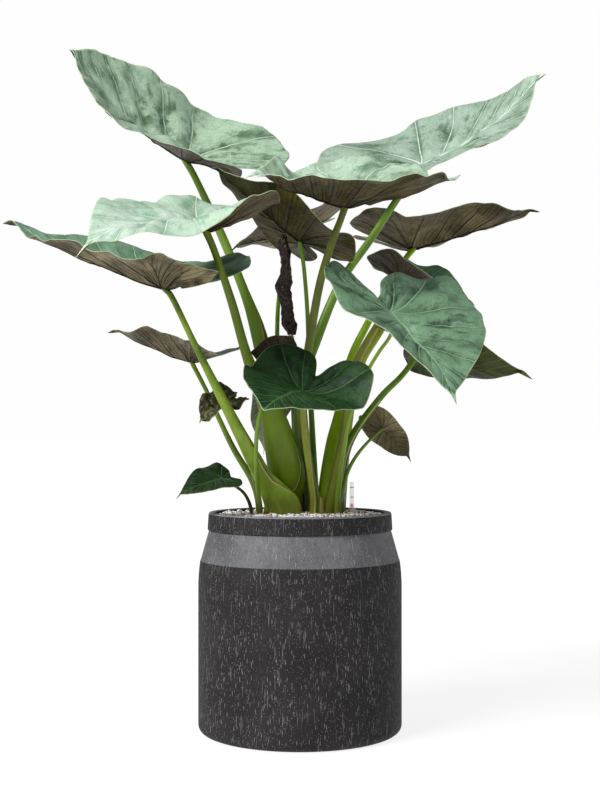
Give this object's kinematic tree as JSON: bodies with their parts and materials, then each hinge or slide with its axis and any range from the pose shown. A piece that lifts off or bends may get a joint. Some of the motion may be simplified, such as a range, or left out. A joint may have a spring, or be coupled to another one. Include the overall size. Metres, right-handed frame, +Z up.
{
  "type": "potted plant",
  "caption": "Large potted aroid with arrow-shaped pale and dark green leaves on long sheathed stalks, in a round charcoal planter topped with mineral granules and fitted with a water gauge.",
  "frame": {"origin": "centre of the planter's flat underside", "axes": "+Z up, the plant's tallest direction; the planter turns round +Z; -Y faces the viewer of the picture, +X to the viewer's right"},
  "size_m": [1.1965, 0.9136, 1.4699],
  "materials": {
    "pot": "matt charcoal, cast, with short pale vertical streaks and a lighter sloped band and rim",
    "growing_medium": "dark loose growing medium",
    "granules": "dry cream, grey and pink-brown mineral granules",
    "crown": "matt, fibrous",
    "gauge_white": "smooth white moulding",
    "gauge_clear": "clear, glossy",
    "gauge_float": "glossy red",
    "blade_green": "pale grey-green satin leaf with lighter veins, brown-grey underneath",
    "blade_dark": "deep green satin leaf with paler veins",
    "blade_brown": "leaf seen mostly from its brown-grey underside with dark veins",
    "stalk": "smooth fleshy green with lighter and olive streaks",
    "dry_leaf": "dry, crinkled, near black brown"
  },
  "bodies": {
    "root": {"pot": "pot", "substrate": "growing_medium", "granule_topping": "granules", "root_crown": "crown", "gauge_shaft": "gauge_white", "gauge_foot": "gauge_white", "gauge_tube": "gauge_clear", "gauge_float": "gauge_float", "blade_a": "blade_green", "blade_b": "blade_green", "blade_c": "blade_green", "blade_d": "blade_brown", "blade_e": "blade_brown", "blade_f": "blade_green", "blade_g": "blade_green", "blade_h": "blade_green", "blade_i": "blade_green", "blade_j": "blade_dark", "blade_k": "blade_brown", "blade_l": "blade_brown", "blade_m": "blade_brown", "blade_n": "blade_brown", "blade_o": "blade_dark", "blade_p": "blade_dark", "blade_q": "blade_brown", "blade_r": "blade_brown", "blade_t": "blade_brown", "stalk_a": "stalk", "stalk_b": "stalk", "stalk_c": "stalk", "stalk_d": "stalk", "stalk_e": "stalk", "stalk_f": "stalk", "stalk_g": "stalk", "stalk_h": "stalk", "stalk_i": "stalk", "stalk_j": "stalk", "stalk_k": "stalk", "stalk_l": "stalk", "stalk_m": "stalk", "stalk_n": "stalk", "stalk_o": "stalk", "stalk_p": "stalk", "stalk_q": "stalk", "stalk_r": "stalk", "stalk_t": "stalk", "stalk_dry": "stalk", "bract": "stalk", "dry_leaf": "dry_leaf"}
  },
  "joints": []
}
